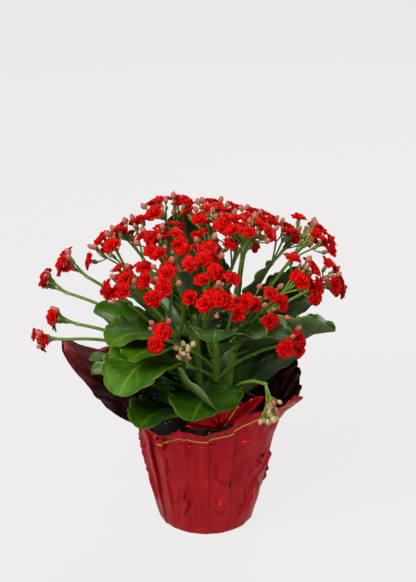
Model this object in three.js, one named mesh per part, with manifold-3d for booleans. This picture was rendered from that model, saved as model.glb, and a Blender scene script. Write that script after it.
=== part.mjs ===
// A potted kalanchoe in full bloom: a nursery pot of peat stands in a pleated foil cover, and four
// rooted plants rise from the peat with fleshy stems, scalloped leaves and a dome of flower trusses.
// Each plant grew as one piece, so it is one solid.
// Millimetres, +Z up. The origin is the centre of the cover's flat foot, and -Y is the front.
import * as THREE from "three";
import { mergeVertices } from "three/addons/utils/BufferGeometryUtils.js";
import Module from "manifold-3d";

const wasm = await Module();
wasm.setup();

// ---- Driving dimensions ----

const gap = 0.35; // kept between pieces that touch

const potHeight = 97;
const potFootRadius = 41;
const potTopRadius = 58; // the wall's outside, at the top
const potWall = 1.5;
const potBandHeight = 9; // the thicker band under the rim
const potBandProud = 1.4;
const drainHoleCount = 6;
const drainHoleRadius = 4;
const drainHoleCircle = 27;

const coverThickness = 1;
const pleatCount = 18;
const pleatDepth = 3.2; // at the pot's rim, and nothing at the foot
// The cover's free edge, going round from the right-hand side: how far each point stands out past
// the pot's rim and how high it stands above it. The tall ones are the sheet's four corners.
const coverEdge = [
  { azimuth: 15, out: 26, up: 40 },
  { azimuth: 36, out: 36, up: 64 },
  { azimuth: 58, out: 24, up: 32 },
  { azimuth: 90, out: 17, up: 21 },
  { azimuth: 125, out: 28, up: 30 },
  { azimuth: 152, out: 47, up: 44 },
  { azimuth: 170, out: 70, up: 60 },
  { azimuth: 196, out: 36, up: 28 },
  { azimuth: 228, out: 9, up: 10 },
  { azimuth: 262, out: 4, up: 8 },
  { azimuth: 280, out: 7, up: 14 },
  { azimuth: 301, out: 12, up: 46 },
  { azimuth: 318, out: 16, up: 32 },
  { azimuth: 338, out: 21, up: 24 },
  { azimuth: 357, out: 22, up: 29 },
];

const peatBelowRim = 9;
const peatMound = 3; // how much higher the peat stands at its middle

const stemCount = 4;
const stemFirstAzimuth = 20;
const stemCircle = 15; // distance of each stem from the pot's axis, where it leaves the peat
const stemLength = 96; // above the peat
const stemDepth = 22; // below it
const stemFootRadius = 4.6;
const stemTipRadius = 3.4;
const stemLean = 9; // degrees away from upright

const rooting = 1.5; // how far a leaf or a flower stalk runs into its stem

const leafThickness = 2.2;
const petioleShare = 0.16; // of a leaf's length
const petioleHalfWidth = 2.4;
const scallopDepth = 0.09; // of the half-width, at every second station along the edge

const stalkFootRadius = 1.7;
const stalkTipRadius = 1.3;
const forkRadius = 2.7; // the swollen node where the pedicels spread from the stalk
const pedicelRadius = 0.5;
const floretRadius = 7.6;
const floretDepth = 7; // from the open face down to the foot of the tube
const budRadius = 2.5;
const budLength = 7;

// ---- Plant habit ----

// Leaves, lowest ring first. stem counts round from the right-hand one. at is the height above the
// peat where the leaf stands on its stem; rise is its slope there and droop is what the slope has
// lost at the tip; fold lifts both halves of the blade off flat and roll turns it about its midrib.
// Angles are in degrees.
const leaves = [
  { stem: 2, at: 12, azimuth: 240, length: 84, width: 56, rise: 40, droop: 62, fold: 12, roll: 0 },
  { stem: 2, at: 44, azimuth: 320, length: 104, width: 70, rise: 16, droop: 12, fold: 30, roll: -24 },
  { stem: 0, at: 62, azimuth: 342, length: 96, width: 64, rise: 28, droop: 16, fold: 38, roll: -20 },
  { stem: 2, at: 62, azimuth: 234, length: 92, width: 70, rise: 40, droop: 100, fold: 10, roll: 0 },
  { stem: 2, at: 28, azimuth: 186, length: 86, width: 52, rise: 36, droop: 40, fold: 16, roll: 0 },
  { stem: 2, at: 10, azimuth: 204, length: 78, width: 46, rise: 50, droop: 60, fold: 14, roll: 0 },
  { stem: 0, at: 16, azimuth: 20, length: 82, width: 54, rise: 38, droop: 34, fold: 18, roll: 0 },
  { stem: 1, at: 14, azimuth: 66, length: 82, width: 54, rise: 36, droop: 44, fold: 16, roll: 0 },
  { stem: 1, at: 24, azimuth: 106, length: 86, width: 58, rise: 34, droop: 56, fold: 14, roll: 0 },
  { stem: 1, at: 22, azimuth: 142, length: 80, width: 52, rise: 46, droop: 40, fold: 20, roll: 0 },
  { stem: 3, at: 36, azimuth: 256, length: 78, width: 60, rise: 34, droop: 50, fold: 12, roll: 0 },
  { stem: 3, at: 84, azimuth: 308, length: 68, width: 48, rise: 56, droop: 70, fold: 12, roll: 0 },
  { stem: 2, at: 50, azimuth: 198, length: 84, width: 46, rise: 36, droop: 24, fold: 16, roll: 14 },
  { stem: 3, at: 78, azimuth: 330, length: 76, width: 54, rise: 48, droop: 58, fold: 14, roll: 0 },
  { stem: 0, at: 76, azimuth: 0, length: 82, width: 54, rise: 38, droop: 40, fold: 14, roll: 12 },
  { stem: 0, at: 58, azimuth: 44, length: 76, width: 54, rise: 42, droop: 50, fold: 16, roll: 0 },
  { stem: 1, at: 58, azimuth: 88, length: 76, width: 56, rise: 42, droop: 64, fold: 14, roll: 0 },
  { stem: 1, at: 62, azimuth: 130, length: 76, width: 54, rise: 42, droop: 56, fold: 16, roll: 0 },
  { stem: 2, at: 66, azimuth: 176, length: 84, width: 48, rise: 42, droop: 24, fold: 18, roll: -14 },
  { stem: 3, at: 90, azimuth: 266, length: 64, width: 48, rise: 52, droop: 90, fold: 12, roll: 0 },
  { stem: 2, at: 82, azimuth: 216, length: 72, width: 56, rise: 42, droop: 74, fold: 12, roll: 0 },
  { stem: 0, at: 84, azimuth: 12, length: 84, width: 48, rise: 48, droop: 26, fold: 18, roll: 0 },
  { stem: 0, at: 88, azimuth: 340, length: 74, width: 50, rise: 72, droop: 18, fold: 14, roll: 0 },
  { stem: 1, at: 72, azimuth: 74, length: 78, width: 56, rise: 64, droop: 30, fold: 14, roll: 0 },
  { stem: 2, at: 88, azimuth: 180, length: 76, width: 48, rise: 56, droop: 24, fold: 18, roll: 0 },
  { stem: 1, at: 80, azimuth: 158, length: 74, width: 52, rise: 58, droop: 30, fold: 14, roll: 0 },
  { stem: 1, at: 92, azimuth: 108, length: 92, width: 62, rise: 74, droop: 16, fold: 14, roll: 0 },
  { stem: 1, at: 40, azimuth: 84, length: 84, width: 56, rise: 50, droop: 40, fold: 14, roll: 0 },
  { stem: 0, at: 40, azimuth: 8, length: 86, width: 54, rise: 44, droop: 40, fold: 14, roll: 0 },
  { stem: 2, at: 40, azimuth: 226, length: 80, width: 54, rise: 38, droop: 50, fold: 12, roll: 0 },
  { stem: 2, at: 78, azimuth: 240, length: 74, width: 52, rise: 52, droop: 40, fold: 14, roll: 0 },
  { stem: 0, at: 46, azimuth: 32, length: 80, width: 52, rise: 60, droop: 30, fold: 14, roll: 0 },
  { stem: 1, at: 46, azimuth: 122, length: 82, width: 52, rise: 60, droop: 30, fold: 14, roll: 0 },
];

// Flower trusses: where each head's middle stands round the pot's axis, how far out and how high
// above the peat, how far its pedicels spread, and how far its face is tipped from straight up.
const trusses = [
  { azimuth: 45, reach: 7, height: 198, spread: 24, tilt: 4, florets: 6, buds: 4 },
  { azimuth: 32, reach: 51, height: 194, spread: 24, tilt: 18, florets: 5, buds: 4 },
  { azimuth: 82, reach: 50, height: 191, spread: 24, tilt: 18, florets: 5, buds: 4 },
  { azimuth: 138, reach: 49, height: 193, spread: 24, tilt: 18, florets: 5, buds: 4 },
  { azimuth: 196, reach: 45, height: 189, spread: 24, tilt: 20, florets: 6, buds: 4 },
  { azimuth: 268, reach: 43, height: 183, spread: 25, tilt: 28, florets: 7, buds: 4 },
  { azimuth: 334, reach: 48, height: 189, spread: 24, tilt: 22, florets: 6, buds: 4 },
  { azimuth: 4, reach: 97, height: 170, spread: 24, tilt: 42, florets: 6, buds: 3 },
  { azimuth: 38, reach: 95, height: 163, spread: 24, tilt: 40, florets: 5, buds: 4 },
  { azimuth: 72, reach: 95, height: 160, spread: 24, tilt: 40, florets: 6, buds: 3 },
  { azimuth: 107, reach: 94, height: 162, spread: 24, tilt: 40, florets: 5, buds: 4 },
  { azimuth: 142, reach: 91, height: 168, spread: 23, tilt: 38, florets: 5, buds: 4 },
  { azimuth: 178, reach: 87, height: 171, spread: 22, tilt: 38, florets: 5, buds: 4 },
  { azimuth: 214, reach: 84, height: 163, spread: 23, tilt: 44, florets: 6, buds: 4 },
  { azimuth: 244, reach: 80, height: 161, spread: 23, tilt: 50, florets: 6, buds: 3 },
  { azimuth: 276, reach: 82, height: 157, spread: 23, tilt: 54, florets: 6, buds: 3 },
  { azimuth: 307, reach: 86, height: 152, spread: 22, tilt: 54, florets: 4, buds: 4 },
  { azimuth: 338, reach: 94, height: 160, spread: 23, tilt: 48, florets: 6, buds: 3 },
  { azimuth: 354, reach: 113, height: 147, spread: 17, tilt: 66, florets: 4, buds: 3 },
  { azimuth: 319, reach: 98, height: 122, spread: 13, tilt: 62, florets: 3, buds: 2 },
  { azimuth: 180, reach: 119, height: 153, spread: 13, tilt: 52, florets: 2, buds: 3 },
  { azimuth: 174, reach: 138, height: 137, spread: 10, tilt: 62, florets: 1, buds: 4 },
  { azimuth: 189, reach: 129, height: 116, spread: 10, tilt: 66, florets: 2, buds: 4 },
  { azimuth: 188, reach: 142, height: 98, spread: 10, tilt: 84, florets: 2, buds: 4 },
  { azimuth: 245, reach: 92, height: 126, spread: 14, tilt: 52, florets: 2, buds: 2 },
  { azimuth: 258, reach: 78, height: 104, spread: 9, tilt: 30, florets: 0, buds: 5 },
  { azimuth: 301, reach: 99, height: 52, spread: 10, tilt: 160, florets: 0, buds: 7 },
];

// ---- Colours ----

const foilRed = { color: 0xa3121f, roughness: 0.35, metalness: 0.45 };
const potBlack = { color: 0x1d1c1b, roughness: 0.6, metalness: 0 };
const peatBrown = { color: 0x2b1d13, roughness: 1, metalness: 0 };
const leafGreen = { color: 0x2f5a1c, roughness: 0.42, metalness: 0 };

// ---- Shapes ----

const radians = THREE.MathUtils.degToRad;
const lerp = THREE.MathUtils.lerp;
const up = new THREE.Vector3(0, 0, 1);

function around(azimuth, reach, height = 0) {
  const angle = radians(azimuth);
  return new THREE.Vector3(reach * Math.cos(angle), reach * Math.sin(angle), height);
}

function solidFrom(geometry) {
  const bare = geometry.clone();
  bare.deleteAttribute("normal");
  bare.deleteAttribute("uv");
  const merged = mergeVertices(bare, 1e-4);
  const vertProperties = merged.attributes.position.array;
  const triVerts = Uint32Array.from(merged.index.array);
  return new wasm.Manifold(new wasm.Mesh({ numProp: 3, vertProperties, triVerts }));
}

function geometryFrom(solid) {
  const mesh = solid.getMesh();
  const geometry = new THREE.BufferGeometry();
  geometry.setAttribute("position", new THREE.BufferAttribute(mesh.vertProperties, 3));
  geometry.setIndex(new THREE.BufferAttribute(mesh.triVerts, 1));
  geometry.computeVertexNormals();
  return geometry;
}

// A closed skin over rings of equal count, each going anticlockwise about the way the rings advance.
// Its two ends fan out from the second corner, so that a folded ring stays whole.
function loft(rings) {
  const count = rings[0].length;
  const last = (rings.length - 1) * count;
  const faces = [];
  for (let start = 0; start < last; start += count) {
    for (let i = 0; i < count; i++) {
      const a = start + i;
      const b = start + ((i + 1) % count);
      faces.push(a, b, b + count, a, b + count, a + count);
    }
  }
  for (let i = 2; i < count; i++) {
    const next = (i + 1) % count;
    faces.push(1, next, i, last + 1, last + i, last + next);
  }
  const geometry = new THREE.BufferGeometry().setFromPoints(rings.flat());
  geometry.setIndex(faces);
  return geometry;
}

// A round solid of revolution about Z from a closed or axis-to-axis profile of [radius, height].
function turned(profile, segments) {
  const points = profile.map(([radius, height]) => new THREE.Vector2(radius, height));
  return new THREE.LatheGeometry(points, segments).rotateX(Math.PI / 2);
}

// A tube along any three.js curve, with a radius for each of its evenly spaced rings.
function tube(curve, radii, sides) {
  const steps = radii.length - 1;
  const frames = curve.computeFrenetFrames(steps, false);
  const rings = [];
  for (let step = 0; step <= steps; step++) {
    const centre = curve.getPointAt(step / steps);
    const radius = radii[step];
    const ring = [];
    for (let side = 0; side < sides; side++) {
      const angle = (2 * Math.PI * side) / sides;
      ring.push(
        centre
          .clone()
          .addScaledVector(frames.normals[step], radius * Math.cos(angle))
          .addScaledVector(frames.binormals[step], radius * Math.sin(angle)),
      );
    }
    rings.push(ring);
  }
  return loft(rings);
}

function taper(foot, tip, steps) {
  return Array.from({ length: steps + 1 }, (_, step) => lerp(foot, tip, step / steps));
}

function meshOf(name, geometry, material) {
  const mesh = new THREE.Mesh(geometry, new THREE.MeshStandardMaterial(material));
  mesh.name = name;
  return mesh;
}

// ---- Nursery pot ----

const potFloor = coverThickness + gap; // height of the pot's underside
const potRim = potFloor + potHeight;

function potOutside(height) {
  return lerp(potFootRadius, potTopRadius, (height - potFloor) / potHeight);
}

function nurseryPot() {
  const bandFoot = potRim - potBandHeight;
  const inside = (height) => potOutside(height) - potWall;
  const walls = turned(
    [
      [0, potFloor],
      [potFootRadius, potFloor],
      [potOutside(bandFoot), bandFoot],
      [potOutside(bandFoot) + potBandProud, bandFoot],
      [potTopRadius + potBandProud, potRim],
      [inside(potRim), potRim],
      [inside(potFloor + potWall), potFloor + potWall],
      [0, potFloor + potWall],
    ],
    48,
  );
  let solid = solidFrom(walls);
  for (let hole = 0; hole < drainHoleCount; hole++) {
    const drill = new THREE.CylinderGeometry(drainHoleRadius, drainHoleRadius, 4 * potWall, 12);
    drill.rotateX(Math.PI / 2);
    const place = around((360 * hole) / drainHoleCount, drainHoleCircle, potFloor + potWall / 2);
    drill.translate(place.x, place.y, place.z);
    solid = solid.subtract(solidFrom(drill));
  }
  return solid;
}

// ---- Foil cover ----

// How far out and up the free edge stands at an azimuth in degrees, eased between its stated points.
function edgeAt(azimuth) {
  const turn = THREE.MathUtils.euclideanModulo(azimuth, 360);
  const next = coverEdge.findIndex((point) => point.azimuth > turn);
  const after = coverEdge[Math.max(next, 0)];
  const before = coverEdge.at((next < 0 ? coverEdge.length : next) - 1);
  const span = THREE.MathUtils.euclideanModulo(after.azimuth - before.azimuth, 360);
  const along = THREE.MathUtils.euclideanModulo(turn - before.azimuth, 360) / span;
  const ease = THREE.MathUtils.smoothstep(along, 0, 1);
  return { out: lerp(before.out, after.out, ease), up: lerp(before.up, after.up, ease) };
}

// Radius and height of the cover's inner or outer face. along runs from 0 at the foot through 1 at
// the pot's rim to 2 at the free edge.
function coverPoint(azimuth, along, outer) {
  const skin = outer ? coverThickness : 0;
  const wave = Math.abs(((azimuth / 360) * pleatCount) % 1 - 0.5) * 2;
  if (along <= 1) {
    const height = along * potRim;
    const wall = potOutside(Math.max(height, potFloor)) + along * potBandProud + gap;
    return [wall + skin + pleatDepth * wave * along, Math.max(height, outer ? 0 : coverThickness)];
  }
  const share = along - 1;
  const edge = edgeAt(azimuth);
  const rimRadius = potTopRadius + potBandProud + gap + pleatDepth * wave;
  const flare = share ** 1.25; // steep at the rim, then leaning out
  return [rimRadius + edge.out * flare + skin, potRim + edge.up * share];
}

function potCover() {
  const segments = 4 * pleatCount;
  const outerStations = [0, 0.35, 0.7, 1, 1.33, 1.67, 2];
  const stations = [
    ...outerStations.map((along) => ({ along, outer: true })),
    ...outerStations.map((along) => ({ along, outer: false })).reverse(),
  ];
  const profile = [[0, 0], ...stations.map((_, i) => [1, i]), [0, stations.length]];
  const geometry = turned(profile, segments);
  const position = geometry.attributes.position;
  const rows = profile.length;
  for (let i = 0; i < position.count; i++) {
    const row = i % rows;
    const column = Math.floor(i / rows) % segments;
    const azimuth = (360 * column) / segments;
    if (row === 0) {
      position.setXYZ(i, 0, 0, 0);
    } else if (row === rows - 1) {
      position.setXYZ(i, 0, 0, coverThickness);
    } else {
      const { along, outer } = stations[row - 1];
      const [radius, height] = coverPoint(azimuth, along, outer);
      const point = around(azimuth, radius, height);
      position.setXYZ(i, point.x, point.y, point.z);
    }
  }
  return solidFrom(geometry);
}

// ---- Peat and stems ----

const peatTop = potRim - peatBelowRim;
const peatFloor = potFloor + potWall + gap;

function stemCurve(stem) {
  const azimuth = stemFirstAzimuth + (360 * stem) / stemCount;
  const foot = around(azimuth, stemCircle, peatTop);
  const outward = around(azimuth, Math.sin(radians(stemLean)), Math.cos(radians(stemLean)));
  const bottom = foot.clone().addScaledVector(outward, -stemDepth);
  const middle = foot.clone().addScaledVector(outward, stemLength / 2);
  const tip = foot.clone().addScaledVector(outward, stemLength).addScaledVector(up, 2);
  return new THREE.CatmullRomCurve3([bottom, foot, middle, tip]);
}

const stemCurves = Array.from({ length: stemCount }, (_, stem) => stemCurve(stem));

function stemSolid(stem, skin) {
  const radii = taper(stemFootRadius + skin, stemTipRadius + skin, 6);
  return solidFrom(tube(stemCurves[stem], radii, 8));
}

// The stem's axis and radius at a height above the peat.
function stemAt(stem, height) {
  const share = (stemDepth + height) / (stemDepth + stemLength);
  const centre = stemCurves[stem].getPointAt(Math.min(share, 1));
  return { centre, radius: lerp(stemFootRadius, stemTipRadius, Math.min(share, 1)) };
}

function peat() {
  const inside = (height) => potOutside(height) - potWall - gap;
  let solid = solidFrom(
    turned(
      [
        [0, peatFloor],
        [inside(peatFloor), peatFloor],
        [inside(peatTop), peatTop],
        [0.6 * inside(peatTop), peatTop + peatMound],
        [0, peatTop + peatMound],
      ],
      32,
    ),
  );
  for (let stem = 0; stem < stemCount; stem++) {
    solid = solid.subtract(stemSolid(stem, gap));
  }
  return solid;
}

// ---- Leaves ----

const leafStations = 13;

// Half-width of the blade at a share of the leaf's length, with the scallops left out.
function leafHalfWidth(share, width) {
  if (share < petioleShare) {
    return petioleHalfWidth;
  }
  const blade = (share - petioleShare) / (1 - petioleShare);
  const oval = Math.sin(Math.PI * blade ** 0.82) ** 0.62;
  return Math.max(petioleHalfWidth * (1 - 0.6 * blade), (width / 2) * oval);
}

function leafSolid(leaf, turn, lift, skin) {
  const stand = stemAt(leaf.stem, leaf.at);
  const azimuth = leaf.azimuth + turn;
  const sideways = around(azimuth + 90, 1);
  const point = stand.centre.clone().add(around(azimuth, stand.radius - rooting));
  const rings = [];
  for (let station = 0; station < leafStations; station++) {
    const share = station / (leafStations - 1);
    const slope = radians(leaf.rise + lift - leaf.droop * share ** 1.3);
    const along = around(azimuth, Math.cos(slope), Math.sin(slope));
    const side = sideways.clone().applyAxisAngle(along, radians(leaf.roll));
    const normal = new THREE.Vector3().crossVectors(along, side);
    const notch = station % 2 ? 0 : scallopDepth;
    const half = leafHalfWidth(share, leaf.width) * (1 - notch) + skin;
    const thick = leafThickness / 2 + skin;
    const reach = half * Math.cos(radians(leaf.fold));
    const cup = half * Math.sin(radians(leaf.fold));
    rings.push([
      point.clone().addScaledVector(side, reach).addScaledVector(normal, cup),
      point.clone().addScaledVector(normal, thick),
      point.clone().addScaledVector(side, -reach).addScaledVector(normal, cup),
      point.clone().addScaledVector(normal, -thick),
    ]);
    point.addScaledVector(along, leaf.length / (leafStations - 1));
  }
  return solidFrom(loft(rings));
}

// ---- Flower trusses ----

const goldenAngle = 180 * (3 - Math.sqrt(5));

// A double cone: the round-faced floret has six spokes on its face, the bud has five.
function doubleCone(radius, above, below, spokes, place, facing) {
  const cone = turned(
    [
      [0, -below],
      [radius, 0],
      [0, above],
    ],
    spokes,
  );
  cone.applyQuaternion(new THREE.Quaternion().setFromUnitVectors(up, facing));
  cone.translate(place.x, place.y, place.z);
  return solidFrom(cone);
}

function trussSolid(truss, swing, slide, skin) {
  const middle = around(truss.azimuth, truss.reach, peatTop + truss.height + slide);
  const tilt = radians(truss.tilt);
  const facing = around(truss.azimuth, Math.sin(tilt), Math.cos(tilt));
  const fork = middle.clone().addScaledVector(facing, -1.15 * truss.spread - floretDepth);
  const leaving = Math.min(stemLength * (0.98 - 0.0022 * truss.reach), truss.height / 2);
  const stand = stemAt(nearestStem(truss.azimuth), leaving + 0.6 * slide);
  const outward = fork.clone().sub(stand.centre).setZ(0).normalize();
  outward.applyAxisAngle(up, radians(swing));
  const foot = stand.centre.clone();
  foot.addScaledVector(outward, stand.radius - rooting);
  const span = foot.distanceTo(fork);
  const start = foot.clone().addScaledVector(outward, 0.2 * span).addScaledVector(up, 0.3 * span);
  const end = fork.clone().addScaledVector(facing, -0.3 * span);
  const stalk = new THREE.CubicBezierCurve3(foot, start, end, fork);
  const radii = taper(stalkFootRadius + skin, stalkTipRadius + skin, 5);
  radii[5] = forkRadius + skin;
  const pieces = [solidFrom(tube(stalk, radii, 4))];
  const side = around(truss.azimuth + 90 + swing, 1);
  const count = truss.florets + truss.buds;
  for (let k = 0; k < count; k++) {
    const open = isOpen(k, truss);
    const turn = radians(goldenAngle * k);
    const share = Math.sqrt((k + 0.35) / count);
    const spread = side.clone().projectOnPlane(facing).normalize().applyAxisAngle(facing, turn);
    const sink = 0.28 * truss.spread * share * share - (open ? 0 : 4);
    const place = middle.clone();
    place.addScaledVector(spread, truss.spread * share).addScaledVector(facing, -sink);
    const face = facing.clone().addScaledVector(spread, 0.75 * share).normalize();
    const radius = (open ? floretRadius : budRadius) + skin;
    const below = (open ? floretDepth : 0.55 * budLength) + skin;
    const above = open ? 0.9 : 0.45 * budLength;
    pieces.push(doubleCone(radius, above + skin, below, open ? 6 : 5, place, face));
    const neck = place.clone().addScaledVector(face, -0.7 * below);
    const leave = fork.clone().addScaledVector(facing, -1);
    leave.addScaledVector(spread, 0.62 * forkRadius * share);
    const pedicel = new THREE.LineCurve3(leave, neck);
    pieces.push(solidFrom(tube(pedicel, taper(pedicelRadius + skin, pedicelRadius + skin, 1), 3)));
  }
  return wasm.Manifold.union(pieces);
}

// Florets and buds take turns from the middle of a head outwards, until one kind runs out.
function isOpen(k, truss) {
  const shared = 2 * Math.min(truss.florets, truss.buds);
  return k < shared ? k % 2 === 0 : truss.florets > truss.buds;
}

function nearestStem(azimuth) {
  const step = 360 / stemCount;
  const turns = Math.round((azimuth - stemFirstAzimuth) / step);
  return THREE.MathUtils.euclideanModulo(turns, stemCount);
}

// ---- Assembly ----

const cover = potCover();
const pot = nurseryPot();
const fill = peat();
const stems = Array.from({ length: stemCount }, (_, stem) => stemSolid(stem, 0));
const plants = stems.map((solid) => [solid]);

function boxesMeet(a, b) {
  const first = a.boundingBox();
  const second = b.boundingBox();
  return [0, 1, 2].every((i) => first.min[i] < second.max[i] && second.min[i] < first.max[i]);
}

// Whether a leaf or truss keeps off everything but the stem that it grows from.
function isClear(solid, ownStem) {
  const others = [cover, pot, fill, ...plants.flat()].filter((other) => other !== stems[ownStem]);
  return others.every((other) => !boxesMeet(solid, other) || solid.intersect(other).isEmpty());
}

// Grows a leaf or truss as near to its stated habit as the pieces already there allow: shape takes
// two nudges and a skin, and the smallest nudges that leave a clear gap all round are kept.
function grow(ownStem, shape, firstStep, secondStep) {
  const nudges = [];
  for (let first = -9; first <= 9; first++) {
    for (let second = -6; second <= 6; second++) {
      nudges.push([first * firstStep, second * secondStep]);
    }
  }
  const size = ([first, second]) => Math.hypot(first / firstStep, second / secondStep);
  nudges.sort((a, b) => size(a) - size(b));
  const fitting = nudges.find(([first, second]) => isClear(shape(first, second, gap), ownStem));
  const [first, second] = fitting ?? [0, 0];
  plants[ownStem].push(shape(first, second, 0));
}

for (const leaf of leaves) {
  grow(leaf.stem, (turn, lift, skin) => leafSolid(leaf, turn, lift, skin), 4, 4);
}
for (const truss of trusses) {
  const ownStem = nearestStem(truss.azimuth);
  grow(ownStem, (swing, slide, skin) => trussSolid(truss, swing, slide, skin), 12, 2.5);
}

const pottedPlant = new THREE.Group();
pottedPlant.add(meshOf("pot_cover", geometryFrom(cover), foilRed));
pottedPlant.add(meshOf("nursery_pot", geometryFrom(pot), potBlack));
pottedPlant.add(meshOf("peat", geometryFrom(fill), peatBrown));
plants.forEach((pieces, index) => {
  const whole = wasm.Manifold.union(pieces);
  pottedPlant.add(meshOf(`plant_${index + 1}`, geometryFrom(whole), leafGreen));
});

export default pottedPlant;
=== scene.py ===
import math
import random

import bmesh
import bpy
import numpy as np
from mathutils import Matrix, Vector, noise


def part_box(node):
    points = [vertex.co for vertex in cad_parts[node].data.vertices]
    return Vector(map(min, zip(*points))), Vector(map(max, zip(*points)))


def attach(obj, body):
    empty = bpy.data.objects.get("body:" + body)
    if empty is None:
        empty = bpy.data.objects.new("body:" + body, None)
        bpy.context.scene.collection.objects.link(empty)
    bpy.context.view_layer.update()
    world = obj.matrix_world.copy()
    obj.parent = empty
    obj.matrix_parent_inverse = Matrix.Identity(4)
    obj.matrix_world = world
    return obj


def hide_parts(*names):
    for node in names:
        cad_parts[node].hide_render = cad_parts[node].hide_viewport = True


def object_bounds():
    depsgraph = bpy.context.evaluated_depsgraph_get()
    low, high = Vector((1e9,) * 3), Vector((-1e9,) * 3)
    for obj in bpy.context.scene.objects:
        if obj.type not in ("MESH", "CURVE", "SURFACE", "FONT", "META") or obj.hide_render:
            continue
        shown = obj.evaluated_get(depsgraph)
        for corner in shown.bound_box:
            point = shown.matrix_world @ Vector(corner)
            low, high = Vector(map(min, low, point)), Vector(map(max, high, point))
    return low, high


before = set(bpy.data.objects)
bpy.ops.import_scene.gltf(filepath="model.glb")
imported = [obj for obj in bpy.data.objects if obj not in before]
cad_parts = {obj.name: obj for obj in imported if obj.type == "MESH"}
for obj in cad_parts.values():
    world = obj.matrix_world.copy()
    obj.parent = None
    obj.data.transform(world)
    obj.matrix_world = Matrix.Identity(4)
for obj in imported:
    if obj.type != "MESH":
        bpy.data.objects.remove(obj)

cadLow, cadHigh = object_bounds()
random.seed(7)
mm = 0.001

# What the solid plants are made of, so that each leaf and truss can be found again in them.
plantSizes = dict(
    weld=1.5e-6,
    leafThickness=2.2 * mm,
    leafNotch=0.91,  # half-width at every second ring along a leaf
    stalkRadii=[1.62 * mm, 1.54 * mm, 1.46 * mm, 1.38 * mm],
    floretAbove=0.9 * mm,
    floretSlope=7.79,  # degrees between a floret's face and each facet of its low cone
    budAbove=3.15 * mm,
    budSlope=57.30,
    stemRadius=4.6 * mm,
    stemRun=117 * mm,  # from a stem's foot in the peat to its tip
)
plantNodes = ["plant_1", "plant_2", "plant_3", "plant_4"]


def unit(v):
    return v / max(np.linalg.norm(v), 1e-12)


def openMesh(node):
    bm = bmesh.new()
    bm.from_mesh(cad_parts[node].data)
    bmesh.ops.remove_doubles(bm, verts=bm.verts, dist=plantSizes["weld"])
    bmesh.ops.triangulate(bm, faces=[f for f in bm.faces if len(f.verts) > 3])
    bm.verts.ensure_lookup_table()
    bm.normal_update()
    return bm


def neighbours(vert):
    return [e.other_vert(vert) for e in vert.link_edges]


# Square rings of one radius: four corners joined by edges of one length, with the right diagonals.
def squareRings(bm, radius):
    side = radius * math.sqrt(2)
    linked = {}
    for e in bm.edges:
        if abs(e.calc_length() - side) < 4e-6:
            a, b = e.verts
            linked.setdefault(a, set()).add(b)
            linked.setdefault(b, set()).add(a)
    rings = set()
    for a, near in linked.items():
        for b in near:
            for d in near:
                if b is d:
                    continue
                for c in linked[b] & linked[d] - {a}:
                    ac, bd = (a.co - c.co).length, (b.co - d.co).length
                    if abs(ac - 2 * radius) < 5e-6 and abs(bd - 2 * radius) < 5e-6:
                        rings.add(frozenset((a, b, c, d)))
    return list(rings)


def middleOf(verts):
    return np.array([v.co for v in verts]).mean(0)


# The axis whose angle with each facet round a tip is the stated one, or None.
def tipAxis(vert, slope, least):
    normals = []
    for f in vert.link_faces:
        if f.calc_area() > 2e-8 and all(f.normal.dot(n) < 0.9995 for n in normals):
            normals.append(f.normal.copy())
    if len(normals) < least:
        return None
    rows = np.array([list(n) for n in normals])
    target = np.full(len(rows), math.cos(math.radians(slope)))
    axis = np.linalg.lstsq(rows, target, rcond=None)[0]
    fits = np.abs(rows @ axis - target).max() < 0.004
    return unit(axis) if fits and abs(np.linalg.norm(axis) - 1) < 0.02 else None


def findTrusses(bm):
    levels = [squareRings(bm, r) for r in plantSizes["stalkRadii"]]
    blocked = {v for rings in levels for ring in rings for v in ring}
    found = []
    for first in levels[0]:
        chain = [first]
        for rings in levels[1:]:
            near = {n for v in chain[-1] for n in neighbours(v)}
            following = [ring for ring in rings if len(ring & near) >= 3]
            if not following:
                break
            chain.append(following[0])
        if len(chain) < len(levels):
            continue
        rings = [middleOf(ring) for ring in chain]
        head = {n for v in chain[-1] for n in neighbours(v)} - blocked
        edgeOf = list(head)
        while edgeOf:
            for n in neighbours(edgeOf.pop()):
                if n not in head and n not in blocked:
                    head.add(n)
                    edgeOf.append(n)
        florets, buds = [], []
        for v in head:
            place = np.array(v.co)
            axis = tipAxis(v, plantSizes["floretSlope"], 4)
            if axis is not None:
                florets.append((place - axis * plantSizes["floretAbove"], axis))
                continue
            axis = tipAxis(v, plantSizes["budSlope"], 4)
            if axis is not None:
                buds.append((place - axis * plantSizes["budAbove"], axis))
        foot = 3 * rings[0] - 3 * rings[1] + rings[2]
        fork = 3 * rings[3] - 3 * rings[2] + rings[1]
        order = lambda item: tuple(np.round(item[0], 5))
        florets.sort(key=order)
        buds.sort(key=order)
        found.append(dict(path=[foot, *rings, fork], florets=florets, buds=buds))
    return sorted(found, key=lambda t: tuple(np.round(t["path"][-1], 4)))


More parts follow.
